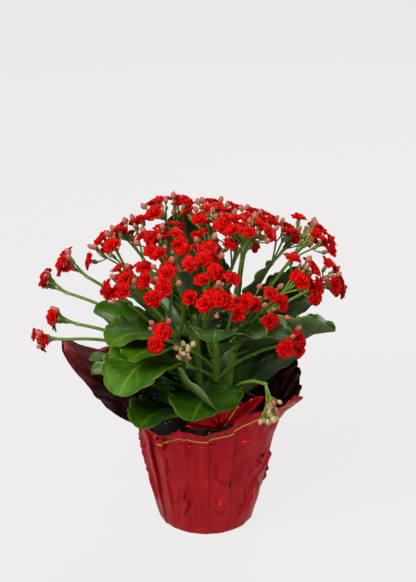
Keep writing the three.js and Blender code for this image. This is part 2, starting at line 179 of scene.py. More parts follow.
# Each leaf's rings from its tip back to its stem, as (middle, left arm, right arm).
def findLeaves(bm):
    found = []
    for e in bm.edges:
        if abs(e.calc_length() - plantSizes["leafThickness"]) > 4e-6:
            continue
        top, low = e.verts
        shared = [n for n in neighbours(top) if n in neighbours(low)]
        if len(shared) != 2 or any(len(n.link_edges) != 4 for n in shared):
            continue
        ring, used, rings = {top, low, *shared}, set(), []
        pair = (top, low)
        while len(ring) == 4:
            verts = list(ring)
            if rings:
                gaps = [(abs((a.co - b.co).length - plantSizes["leafThickness"]), i, j)
                        for i, a in enumerate(verts) for j, b in enumerate(verts) if i < j]
                off, i, j = min(gaps)
                if off > 2e-5:
                    break
                pair = (verts[i], verts[j])
            sides = [v for v in verts if v not in pair]
            rings.append([np.array(v.co) for v in (*pair, *sides)])
            used |= ring
            ring = {n for v in ring for n in neighbours(v)} - used
        if len(rings) >= 8:
            found.append(orderRings(rings))
    return sorted(found, key=lambda rings: tuple(np.round(rings[0][0], 4)))


def orderRings(rings):
    ups = [unit(rings[0][0] - rings[0][1])]
    for a, b, s, t in rings[1:]:
        ups.append(unit(a - b) * (1 if np.dot(a - b, ups[-1]) > 0 else -1))
    fold = sum(np.dot((s + t) / 2 - (a + b) / 2, up) for (a, b, s, t), up in zip(rings[2:9], ups[2:9]))
    ordered = []
    for k, (a, b, s, t) in enumerate(rings):
        upward = ups[k] if fold > 0 else -ups[k]
        middle = (a + b) / 2
        left = ordered[-1][1] if ordered else None
        if left is not None and np.dot(s - middle, left) < 0:
            s, t = t, s
        back = plantSizes["leafNotch"] if k % 2 == 0 else 1.0
        ordered.append((middle, (s - middle) / back, (t - middle) / back, upward))
    tip, base = ordered[0][0], ordered[-1][0]
    wide = ordered[5]
    if np.dot(np.cross(tip - base, wide[1]), wide[3]) < 0:
        ordered = [(m, t, s, u) for m, s, t, u in ordered]
    ordered.reverse()
    first, second, third = (ring[0] for ring in ordered[:3])
    foot = 3 * first - 3 * second + third  # where the petiole meets its stem
    return [(foot, *ordered[0][1:]), *ordered]


def findStem(bm):
    lowest = sorted(bm.verts, key=lambda v: v.co.z)[:8]
    foot = middleOf(lowest)
    spread = np.array([v.co for v in lowest]) - foot
    axis = np.linalg.svd(spread)[2][2]
    axis = axis if axis[2] > 0 else -axis
    return foot, foot + axis * plantSizes["stemRun"]


plants = {}
for node in plantNodes:
    bm = openMesh(node)
    plants[node] = dict(leaves=findLeaves(bm), trusses=findTrusses(bm), stem=findStem(bm))
    bm.free()
    p = plants[node]
    floretCount = sum(len(t["florets"]) for t in p["trusses"])
    budCount = sum(len(t["buds"]) for t in p["trusses"])
    print(node, len(p["leaves"]), "leaves", len(p["trusses"]), "trusses",
          floretCount, "florets", budCount, "buds")


# A bag gathers grids of points, each with its own finish, and becomes one object.
def newBag():
    return dict(verts=[], faces=[], uvs=[], finish=[])


def addGrid(bag, points, uv, finish=0, flip=False, wrap=False):
    points = np.asarray(points, float)
    uv = np.asarray(uv, float)
    rows, cols = points.shape[:2]
    start = len(bag["verts"])
    bag["verts"].extend(map(tuple, points.reshape(-1, 3)))
    lastCol = cols if wrap else cols - 1
    for r in range(rows - 1):
        for c in range(lastCol):
            d = (c + 1) % cols
            quad = [(r, c), (r, d), (r + 1, d), (r + 1, c)]
            corners = [tuple(uv[i, j]) for i, j in quad]
            if wrap and d == 0:
                corners[1] = (corners[1][0] + 1, corners[1][1])
                corners[2] = (corners[2][0] + 1, corners[2][1])
            ids = [start + i * cols + j for i, j in quad]
            if flip:
                ids.reverse()
                corners.reverse()
            bag["faces"].append(ids)
            bag["uvs"].append(corners)
            bag["finish"].append(finish)


# Two faces of a thin sheet that meet along its outline.
def addShell(bag, top, low, uv, topFinish=0, lowFinish=0):
    top, low = np.array(top, float), np.array(low, float)
    rim = (top + low) / 2
    for edge in (np.s_[0, :], np.s_[-1, :], np.s_[:, 0], np.s_[:, -1]):
        top[edge] = rim[edge]
        low[edge] = rim[edge]
    addGrid(bag, top, uv, topFinish)
    addGrid(bag, low, uv, lowFinish, flip=True)


def makeObject(bag, name, materials, node, weld=2e-6):
    mesh = bpy.data.meshes.new(name)
    mesh.from_pydata(bag["verts"], [], bag["faces"])
    layer = mesh.uv_layers.new(name="grow")
    flat = [u for corners in bag["uvs"] for corner in corners for u in corner]
    layer.data.foreach_set("uv", flat)
    mesh.polygons.foreach_set("material_index", bag["finish"])
    bm = bmesh.new()
    bm.from_mesh(mesh)
    bmesh.ops.remove_doubles(bm, verts=bm.verts, dist=weld)
    bmesh.ops.dissolve_degenerate(bm, edges=bm.edges, dist=weld / 4)
    bm.to_mesh(mesh)
    bm.free()
    mesh.polygons.foreach_set("use_smooth", [True] * len(mesh.polygons))
    obj = bpy.data.objects.new(name, mesh)
    bpy.context.scene.collection.objects.link(obj)
    for material in materials:
        mesh.materials.append(material)
    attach(obj, "root")
    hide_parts(node)


# Points along a smooth curve through the given ones.
def smoothPath(points, count):
    pts = [np.asarray(p, float) for p in points]
    pts = [2 * pts[0] - pts[1], *pts, 2 * pts[-1] - pts[-2]]
    out = []
    for t in np.linspace(0, len(pts) - 3, count):
        i = min(int(t), len(pts) - 4)
        f = t - i
        a, b, c, d = pts[i:i + 4]
        squared = (2 * a - 5 * b + 4 * c - d) * f * f
        cubed = (3 * b - a - 3 * c + d) * f ** 3
        out.append(0.5 * (2 * b + (c - a) * f + squared + cubed))
    return np.array(out)


def crossAxes(direction):
    direction = unit(direction)
    helper = np.array([0, 0, 1.0]) if abs(direction[2]) < 0.9 else np.array([1.0, 0, 0])
    side = unit(np.cross(helper, direction))
    return side, np.cross(direction, side)


def addTube(bag, path, radii, sides=8, finish=0, span=(0, 1)):
    path = np.asarray(path, float)
    count = len(path)
    radii = np.interp(np.linspace(0, 1, count), np.linspace(0, 1, len(radii)), radii)
    side = crossAxes(path[1] - path[0])[0]
    rings = []
    for k in range(count):
        ahead = unit(path[min(k + 1, count - 1)] - path[max(k - 1, 0)])
        side = unit(side - ahead * np.dot(side, ahead))
        over = np.cross(ahead, side)
        angles = np.linspace(0, 2 * math.pi, sides, endpoint=False)
        ring = path[k] + radii[k] * (np.outer(np.cos(angles), side) + np.outer(np.sin(angles), over))
        rings.append(ring)
    rings = [np.repeat(path[:1], sides, 0), *rings, np.repeat(path[-1:], sides, 0)]
    v = np.clip(np.linspace(span[0], span[1], count + 2), 0, 1)
    u = np.arange(sides) / sides
    uv = np.stack(np.meshgrid(u, v), -1)
    addGrid(bag, rings, uv, finish, wrap=True)


def newMaterial(name):
    material = bpy.data.materials.new(name)
    material.use_nodes = True
    tree = material.node_tree
    return material, tree, tree.nodes["Principled BSDF"]


def put(tree, kind, **settings):
    node = tree.nodes.new(kind)
    for key, value in settings.items():
        setattr(node, key, value)
    return node


def feed(tree, socket, value):
    if isinstance(value, bpy.types.NodeSocket):
        tree.links.new(value, socket)
    else:
        socket.default_value = value


def doMath(tree, operation, a, b=0.0, c=0.0):
    node = put(tree, "ShaderNodeMath", operation=operation)
    for socket, value in zip(node.inputs, (a, b, c)):
        feed(tree, socket, value)
    return node.outputs[0]


def ramp(tree, value, stops):
    node = put(tree, "ShaderNodeValToRGB")
    elements = node.color_ramp.elements
    while len(elements) < len(stops):
        elements.new(0.5)
    for element, (place, colour) in zip(elements, stops):
        element.position = place
        element.color = (*colour, 1)
    feed(tree, node.inputs[0], value)
    return node.outputs[0]


def mixColour(tree, factor, a, b, blend="MIX"):
    node = put(tree, "ShaderNodeMix", data_type="RGBA", blend_type=blend)
    feed(tree, node.inputs["Factor"], factor)
    feed(tree, node.inputs[6], a if isinstance(a, bpy.types.NodeSocket) else (*a, 1))
    feed(tree, node.inputs[7], b if isinstance(b, bpy.types.NodeSocket) else (*b, 1))
    return node.outputs[2]


def between(tree, value, fromLow, fromHigh, toLow=0.0, toHigh=1.0):
    node = put(tree, "ShaderNodeMapRange")
    for socket, number in zip(node.inputs[:5], (value, fromLow, fromHigh, toLow, toHigh)):
        feed(tree, socket, number)
    return node.outputs[0]


def noiseOf(tree, scale, detail=3.0, roughness=0.55, vector=None, distortion=0.0):
    node = put(tree, "ShaderNodeTexNoise")
    if vector is None:
        vector = put(tree, "ShaderNodeTexCoord").outputs["Object"]
    tree.links.new(vector, node.inputs["Vector"])
    settings = dict(Scale=scale, Detail=detail, Roughness=roughness, Distortion=distortion)
    for key, value in settings.items():
        node.inputs[key].default_value = value
    return node.outputs["Fac"]


def bumpFrom(tree, height, strength, distance):
    node = put(tree, "ShaderNodeBump")
    node.inputs["Strength"].default_value = strength
    node.inputs["Distance"].default_value = distance
    tree.links.new(height, node.inputs["Height"])
    return node.outputs["Normal"]


def growUv(tree):
    uv = put(tree, "ShaderNodeUVMap", uv_map="grow")
    parts = put(tree, "ShaderNodeSeparateXYZ")
    tree.links.new(uv.outputs[0], parts.inputs[0])
    return parts.outputs[0], parts.outputs[1]


def newGroup(name, inputs, outputs):
    tree = bpy.data.node_groups.new(name, "ShaderNodeTree")
    for label, kind, value in inputs:
        socket = tree.interface.new_socket(label, in_out="INPUT", socket_type=kind)
        socket.default_value = value
    for label, kind in outputs:
        tree.interface.new_socket(label, in_out="OUTPUT", socket_type=kind)
    return tree, tree.nodes.new("NodeGroupInput"), tree.nodes.new("NodeGroupOutput")


def useGroup(tree, group, **values):
    node = put(tree, "ShaderNodeGroup", node_tree=group)
    for label, value in values.items():
        feed(tree, node.inputs[label], value)
    return node


# Cell-like mottling shared by everything that grew.
def makeGrowth():
    tree, given, out = newGroup(
        "plantMottle",
        [("Scale", "NodeSocketFloat", 60.0), ("Fine", "NodeSocketFloat", 900.0)],
        [("Patch", "NodeSocketFloat"), ("Grain", "NodeSocketFloat")],
    )
    place = put(tree, "ShaderNodeTexCoord").outputs["Object"]
    broad = put(tree, "ShaderNodeTexNoise")
    fine = put(tree, "ShaderNodeTexNoise")
    for node, label, detail in ((broad, "Scale", 4.0), (fine, "Fine", 2.0)):
        tree.links.new(place, node.inputs["Vector"])
        tree.links.new(given.outputs[label], node.inputs["Scale"])
        node.inputs["Detail"].default_value = detail
    tree.links.new(broad.outputs["Fac"], out.inputs["Patch"])
    tree.links.new(fine.outputs["Fac"], out.inputs["Grain"])
    return tree


# Midrib, side veins and margin of a leaf, from where a point lies across and along it.
def makeVeins():
    tree, given, out = newGroup(
        "leafVeins",
        [("Veins", "NodeSocketFloat", 7.0), ("Margin", "NodeSocketFloat", 0.93)],
        [("Vein", "NodeSocketFloat"), ("Midrib", "NodeSocketFloat"), ("Margin", "NodeSocketFloat")],
    )
    u, v = growUv(tree)
    wobble = doMath(tree, "MULTIPLY", doMath(tree, "SUBTRACT", noiseOf(tree, 70.0, 2.0), 0.5), 0.09)
    across = doMath(tree, "ABSOLUTE", doMath(tree, "MULTIPLY", doMath(tree, "SUBTRACT", u, 0.5), 2.0))
    swept = doMath(tree, "SUBTRACT", v, doMath(tree, "MULTIPLY", across, 0.30))
    slanted = doMath(tree, "ADD", swept, wobble)
    phase = doMath(tree, "FRACT", doMath(tree, "MULTIPLY", slanted, given.outputs["Veins"]))
    ridge = doMath(tree, "ABSOLUTE", doMath(tree, "SUBTRACT", phase, 0.5))
    vein = between(tree, ridge, 0.0, 0.10, 1.0, 0.0)
    fade = between(tree, across, 0.55, 0.95, 1.0, 0.0)
    tree.links.new(doMath(tree, "MULTIPLY", vein, fade), out.inputs["Vein"])
    tree.links.new(between(tree, across, 0.0, 0.09, 1.0, 0.0), out.inputs["Midrib"])
    outer = doMath(tree, "SUBTRACT", across, doMath(tree, "MULTIPLY", wobble, 0.6))
    edge = put(tree, "ShaderNodeMapRange")
    tree.links.new(outer, edge.inputs[0])
    tree.links.new(given.outputs["Margin"], edge.inputs[1])
    edge.inputs[2].default_value = 1.0
    tree.links.new(edge.outputs[0], out.inputs["Margin"])
    return tree


growth = makeGrowth()
veins = makeVeins()


def leafMaterial(name, deep, fresh, margin, rib, roughness, veinDepth, coat):
    material, tree, shader = newMaterial(name)
    mottle = useGroup(tree, growth, Scale=38.0, Fine=1500.0)
    lines = useGroup(tree, veins, Veins=6.5, Margin=0.93)
    colour = ramp(tree, mottle.outputs["Patch"], [(0.32, deep), (0.70, fresh)])
    ribs = doMath(tree, "MAXIMUM", doMath(tree, "MULTIPLY", lines.outputs["Vein"], 0.32),
                  doMath(tree, "MULTIPLY", lines.outputs["Midrib"], 0.75))
    colour = mixColour(tree, ribs, colour, rib)
    colour = mixColour(tree, lines.outputs["Margin"], colour, margin)
    tree.links.new(colour, shader.inputs["Base Color"])
    tree.links.new(between(tree, mottle.outputs["Grain"], 0.3, 0.7, roughness - 0.06, roughness + 0.08),
                   shader.inputs["Roughness"])
    height = doMath(tree, "ADD", doMath(tree, "MULTIPLY", mottle.outputs["Grain"], 0.12),
                    doMath(tree, "SUBTRACT", doMath(tree, "MULTIPLY", mottle.outputs["Patch"], 0.9),
                           doMath(tree, "MULTIPLY", ribs, 0.8)))
    tree.links.new(bumpFrom(tree, height, 0.55, veinDepth), shader.inputs["Normal"])
    shader.inputs["Coat Weight"].default_value = coat
    shader.inputs["Coat Roughness"].default_value = 0.28
    shader.inputs["Specular IOR Level"].default_value = 0.34
    return material


# Lit and shaded copies of one upper leaf colour: painted shade in the dark copy, painted light in the bright
# copy, and the middle copy between them. The underside is the leaf's own colour.
leafLooks = dict(
    paintedShade=leafMaterial("leafUpperPaintedShade", (0.005, 0.026, 0.001), (0.022, 0.074, 0.002), (0.13, 0.25, 0.012),
                      (0.06, 0.14, 0.008), 0.36, 0.5 * mm, 0.05),
    mid=leafMaterial("leafUpperMid", (0.012, 0.054, 0.001), (0.046, 0.135, 0.003), (0.22, 0.36, 0.018),
                     (0.10, 0.20, 0.010), 0.36, 0.5 * mm, 0.06),
    paintedLight=leafMaterial("leafUpperPaintedLight", (0.026, 0.090, 0.001), (0.080, 0.205, 0.004), (0.32, 0.48, 0.03),
                        (0.15, 0.30, 0.018), 0.38, 0.4 * mm, 0.06),
    under=leafMaterial("leafUnderside", (0.042, 0.080, 0.014), (0.095, 0.150, 0.032), (0.20, 0.33, 0.04),
                       (0.14, 0.22, 0.045), 0.55, 0.5 * mm, 0.0),
)


def stalkMaterial():
    material, tree, shader = newMaterial("stalkGreen")
    mottle = useGroup(tree, growth, Scale=90.0, Fine=2200.0)
    v = growUv(tree)[1]
    young = mixColour(tree, v, (0.085, 0.20, 0.014), (0.24, 0.38, 0.04))
    colour = mixColour(tree, between(tree, mottle.outputs["Patch"], 0.35, 0.7), young, (0.12, 0.22, 0.025))
    tree.links.new(colour, shader.inputs["Base Color"])
    tree.links.new(between(tree, mottle.outputs["Grain"], 0.3, 0.7, 0.38, 0.52), shader.inputs["Roughness"])
    tree.links.new(bumpFrom(tree, mottle.outputs["Grain"], 0.4, 0.15 * mm), shader.inputs["Normal"])
    return material


def petalMaterial():
    material, tree, shader = newMaterial("petalScarlet")
    mottle = useGroup(tree, growth, Scale=260.0, Fine=2600.0)
    u, v = growUv(tree)
    across = doMath(tree, "ABSOLUTE", doMath(tree, "SUBTRACT", u, 0.5))
    streaks = noiseOf(tree, 900.0, 2.0)
    patch = between(tree, mottle.outputs["Patch"], 0.3, 0.7)
    deep = mixColour(tree, patch, (0.48, 0.001, 0.001), (0.84, 0.003, 0.001))
    lit = mixColour(tree, between(tree, across, 0.30, 0.5, 0.0, 0.55), deep, (0.92, 0.010, 0.003))
    colour = mixColour(tree, between(tree, v, 0.0, 0.25, 0.55, 0.0), lit, (0.72, 0.10, 0.015))
    tree.links.new(colour, shader.inputs["Base Color"])
    tree.links.new(between(tree, streaks, 0.3, 0.7, 0.42, 0.60), shader.inputs["Roughness"])
    tree.links.new(bumpFrom(tree, streaks, 0.5, 0.12 * mm), shader.inputs["Normal"])
    shader.inputs["Specular IOR Level"].default_value = 0.10
    return material


def budMaterial():
    material, tree, shader = newMaterial("budPink")
    mottle = useGroup(tree, growth, Scale=200.0, Fine=2600.0)
    u, v = growUv(tree)
    stripe = doMath(tree, "SINE", doMath(tree, "MULTIPLY", u, 2 * math.pi * 8))
    flush = doMath(tree, "ADD", doMath(tree, "MULTIPLY", stripe, 0.5),
                   doMath(tree, "SUBTRACT", mottle.outputs["Patch"], 0.1))
    pink = ramp(tree, flush, [(0.0, (0.42, 0.040, 0.030)), (0.5, (0.54, 0.125, 0.090)),
                              (1.0, (0.64, 0.27, 0.19))])
    colour = mixColour(tree, between(tree, v, 0.12, 0.42, 1.0, 0.0), pink, (0.30, 0.36, 0.09))
    colour = mixColour(tree, between(tree, v, 0.82, 1.0, 0.0, 0.7), colour, (0.66, 0.16, 0.10))
    tree.links.new(colour, shader.inputs["Base Color"])
    tree.links.new(between(tree, mottle.outputs["Grain"], 0.3, 0.7, 0.36, 0.5), shader.inputs["Roughness"])
    tree.links.new(bumpFrom(tree, stripe, 0.35, 0.1 * mm), shader.inputs["Normal"])
    return material


def paleBudMaterial():
    material, tree, shader = newMaterial("budPale")
    mottle = useGroup(tree, growth, Scale=220.0, Fine=2600.0)
    v = growUv(tree)[1]
    patch = between(tree, mottle.outputs["Patch"], 0.3, 0.7)
    skin = mixColour(tree, patch, (0.38, 0.42, 0.12), (0.60, 0.46, 0.24))
    colour = mixColour(tree, between(tree, v, 0.5, 1.0, 0.0, 0.6), skin, (0.66, 0.30, 0.20))
    tree.links.new(colour, shader.inputs["Base Color"])
    tree.links.new(between(tree, mottle.outputs["Grain"], 0.3, 0.7, 0.38, 0.5), shader.inputs["Roughness"])
    tree.links.new(bumpFrom(tree, mottle.outputs["Grain"], 0.35, 0.1 * mm), shader.inputs["Normal"])
    return material


stalkGreen = stalkMaterial()
petalScarlet = petalMaterial()
budPink = budMaterial()
budPale = paleBudMaterial()
print("plant materials made")


leafCut = dict(
    stations=60, across=9, teeth=8, toothDepth=0.13, edgeWave=1.5 * mm, waveTurns=21, fullness=0.46,
    bladeThick=0.62 * mm, pillow=0.10, ribThick=0.75 * mm, groove=0.3 * mm,
    petioleThick=1.5 * mm, petioleShare=0.16, petioleHalf=2.2 * mm,
)


def buildLeaf(name, node, rings, look):
    s = leafCut
    count, across = s["stations"], s["across"]
    middle = smoothPath([r[0] for r in rings], count)
    left = smoothPath([r[1] for r in rings], count)
    right = smoothPath([r[2] for r in rings], count)
    upward = smoothPath([r[3] for r in rings], count)
    share = np.linspace(0, 1, count)
    blade = np.clip((share - s["petioleShare"]) / (1 - s["petioleShare"]), 0, 1)
    wavePhase = random.random() * 6.28
    arms = np.maximum(np.linalg.norm(left, axis=1), 1e-6)
    widest = arms.max()
    oval = np.sin(math.pi * np.clip(blade, 0, 0.995) ** 0.86) ** s["fullness"]
    tooth = np.abs(np.sin(math.pi * s["teeth"] * blade ** 0.85)) ** 0.5
    outline = widest * oval * (1 - s["toothDepth"] * (1 - tooth) * np.clip(blade * 5, 0, 1))
    outline = np.maximum(outline, s["petioleHalf"] * np.clip((1 - blade) * 4, 0.15, 1))
    trim = outline / arms
    top = np.zeros((count, across, 3))
    low = np.zeros((count, across, 3))
    uv = np.zeros((count, across, 2))
    for k in range(count):
        upK = unit(upward[k])
        petiole = 1 - min(blade[k] * 5, 1)
        for j in range(across):
            a = 2 * j / (across - 1) - 1
            arm = left[k] if a < 0 else right[k]
            lift = np.dot(arm, upK)
            flat = arm - upK * lift
            h = abs(a)
            point = middle[k] + (flat * h + upK * lift * h ** 1.4) * trim[k]
            point = point - upK * s["pillow"] * arms[k] * math.sin(math.pi * h) * (1 - petiole)
            phase = blade[k] * s["waveTurns"] + wavePhase + (2 if a < 0 else 0)
            ruffle = s["edgeWave"] * h ** 3 * math.sin(phase) * min(blade[k] * 3, 1)
            point = point + upK * ruffle
            thick = s["bladeThick"] * (1 - 0.5 * h) + s["petioleThick"] * petiole * (1 - h * h)
            rib = s["ribThick"] * max(0, 1 - h * 5) * (1 - blade[k])
            top[k, j] = point + upK * (thick / 2 - s["groove"] * max(0, 1 - h * 6) * (1 - petiole))
            low[k, j] = point - upK * (thick / 2 + rib)
            uv[k, j] = ((a + 1) / 2, share[k])
    bag = newBag()
    addShell(bag, top[:, ::-1], low[:, ::-1], uv[:, ::-1], 0, 1)
    makeObject(bag, name, [leafLooks[look], leafLooks["under"]], node)


leafCount = 0
for node in plantNodes:
    for rings in plants[node]["leaves"]:
        leafCount += 1
        tip = rings[-1][0]
        # Painted light and shade by place: high leaves to the left get the painted-light copy, leaves at the
        # front or left get the middle copy, and leaves at the back get the painted-shade copy.
        height = (tip[2] - cadLow.z) / (cadHigh.z - cadLow.z)
        leftward = tip[0] < -0.05
        look = "paintedLight" if leftward and height > 0.42 else "mid" if (tip[1] < 0 or leftward) else "paintedShade"
        buildLeaf(f"leaf_{leafCount:02d}", node, rings, look)
print("leaves", leafCount)


for index, node in enumerate(plantNodes):
    foot, tip = plants[node]["stem"]
    bag = newBag()
    path = smoothPath([foot, foot * 0.5 + tip * 0.5, tip], 26)
    swell = [1 + 0.10 * abs(math.sin(k * 0.9)) ** 6 for k in range(26)]
    radii = [plantSizes["stemRadius"] * (1 - 0.26 * k / 25) * swell[k] for k in range(26)]
    radii[-1] *= 0.6
    addTube(bag, path, radii, 14, 0, span=(0, 0.5))
    makeObject(bag, f"stem_{index + 1}", [stalkGreen], node)

floretCut = dict(
    tubeFoot=6.6 * mm, tubeRadius=1.15 * mm, throatRadius=1.7 * mm,
    # petals in each whorl: count, length, width, rise in degrees, how far the tip curls over
    whorls=[(6, 8.3, 7.4, 20, 40), (6, 7.0, 6.6, 36, 40), (5, 5.6, 5.4, 52, 34),
            (5, 4.2, 4.2, 68, 26), (3, 2.8, 3.0, 80, 10)],
    petalThick=0.34 * mm, drop=1.2 * mm,
)
trussCut = dict(
    stalkFoot=1.75 * mm, stalkTip=1.35 * mm, branchRadius=0.95 * mm, pedicelRadius=0.62 * mm,
    bractLength=7 * mm, bractWidth=2.4 * mm, budFoot=3.4 * mm, budRadius=2.5 * mm, budLength=7.2 * mm,
    extraBuds=5, extraFlorets=0.55,
)


def turnedTo(points, place, axis, spin):
    side, over = crossAxes(axis)
    c, s = math.cos(spin), math.sin(spin)
    x, y = side * c + over * s, over * c - side * s
    return place + points[..., :1] * x + points[..., 1:2] * y + points[..., 2:] * axis


def petalSheet(length, width, rise, curl, rows=5, cols=5):
    s = np.linspace(0, 1, rows)
    slope = np.radians(rise - curl * s ** 1.5)
    step = length / (rows - 1)
    x = 0.5 * mm + np.concatenate([[0], np.cumsum(np.cos(slope[:-1]) * step)])
    z = np.concatenate([[0], np.cumsum(np.sin(slope[:-1]) * step)])
    half = width / 2 * np.sin(math.pi * (0.07 + 0.74 * s ** 1.25)) ** 0.75
    half[-1] *= 0.55
    j = np.linspace(-1, 1, cols)
    grid = np.zeros((rows, cols, 3))
    normal = np.stack([-np.sin(slope), 0 * s, np.cos(slope)], -1)
    grid[..., 0] = x[:, None]
    grid[..., 1] = half[:, None] * j[None]
    grid[..., 2] = z[:, None]
    hollow = (j[None] ** 2 * half[:, None] * 0.35)[..., None]
    depth = random.uniform(-1.1, 1.1) * mm
    wave = (depth * np.sin(j * 2.4 + random.uniform(-1, 1))[None] * s[:, None])[..., None]
    grid += normal[:, None] * (hollow + wave)
    uv = np.stack(np.meshgrid((j + 1) / 2, s), -1)
    return grid, normal, uv


def addFloret(bag, place, axis, openness, size):
    spin = random.random() * 6.28
    foot = place - axis * floretCut["drop"]
    for ring, (count, length, width, rise, curl) in enumerate(floretCut["whorls"]):
        cols = 5 if ring < 2 else 3
        for k in range(count):
            rise2 = rise + (1 - openness) * 42 + random.uniform(-12, 12)
            reach = length * mm * size * random.uniform(0.84, 1.06)
            sheet, normal, uv = petalSheet(reach, width * mm * size, rise2, curl * openness, 5, cols)
            angle = 6.283 * (k + 0.5 * (ring % 2)) / count + random.uniform(-0.12, 0.12)
            c, s = math.cos(angle), math.sin(angle)
            turn = np.array([[c, -s, 0], [s, c, 0], [0, 0, 1]])
            half = normal[:, None] * floretCut["petalThick"] / 2
            top = turnedTo((sheet + half) @ turn.T, foot, axis, spin)
            low = turnedTo((sheet - half) @ turn.T, foot, axis, spin)
            addShell(bag, top, low, uv, 0, 0)
    path = [place - axis * floretCut["tubeFoot"], place - axis * 3.5 * mm, place - axis * 0.9 * mm]
    radii = [floretCut["tubeRadius"], 1.25 * mm, floretCut["throatRadius"]]
    addTube(bag, smoothPath(path, 5), radii, 8, 1, span=(0.5, 0.95))


def addBud(bag, place, axis, radius, length, finish, rows=8, sides=10):
    s = np.linspace(0, 1, rows)
    profile = radius * np.sin(math.pi * np.clip(s, 0, 1) ** 0.85) ** 0.72
    profile[0], profile[-1] = radius * 0.28, 0
    angles = np.linspace(0, 2 * math.pi, sides, endpoint=False)
    flute = 1 + 0.07 * np.cos(4 * angles)
    grid = np.zeros((rows + 1, sides, 3))
    grid[1:, :, 0] = profile[:, None] * np.cos(angles) * flute
    grid[1:, :, 1] = profile[:, None] * np.sin(angles) * flute
    grid[1:, :, 2] = ((s - 0.55) * length)[:, None]
    grid[0, :, 2] = -0.55 * length
    v = np.concatenate([[0], s])
    uv = np.stack(np.meshgrid(angles / 6.283, v), -1)
    addGrid(bag, turnedTo(grid, place, axis, random.random() * 6), uv, finish, wrap=True)


# Four short green sepals round the foot of a floret or a bud.
def addSepals(bag, foot, axis, radius, length):
    spin = random.random() * 6
    side, over = crossAxes(axis)
    for k in range(4):
        angle = spin + k * math.pi / 2
        out = side * math.cos(angle) + over * math.sin(angle)
        addLeaflet(bag, foot + out * radius * 0.35, axis + out * 0.42, out, length, radius * 1.15, 4)


def addLeaflet(bag, foot, direction, outward, length, width, rows=6):
    direction = unit(direction)
    side = unit(np.cross(outward, direction))
    face = np.cross(direction, side)
    top, low = np.zeros((rows, 3, 3)), np.zeros((rows, 3, 3))
    uv = np.zeros((rows, 3, 2))
    for k in range(rows):
        s = k / (rows - 1)
        half = width / 2 * max(math.sin(math.pi * (0.14 + 0.84 * s)) ** 0.8, 0.06)
        bend = -face * length * 0.22 * s * s
        centre = foot + direction * length * s + bend
        for j, a in enumerate((-1, 0, 1)):
            point = centre + side * half * a + face * half * 0.35 * abs(a)
            thick = 0.28 * mm * (1.4 - s)
            top[k, j], low[k, j] = point + face * thick, point - face * thick
            uv[k, j] = ((a + 1) / 2, 0.5 + 0.5 * s)
    addShell(bag, top, low, uv)


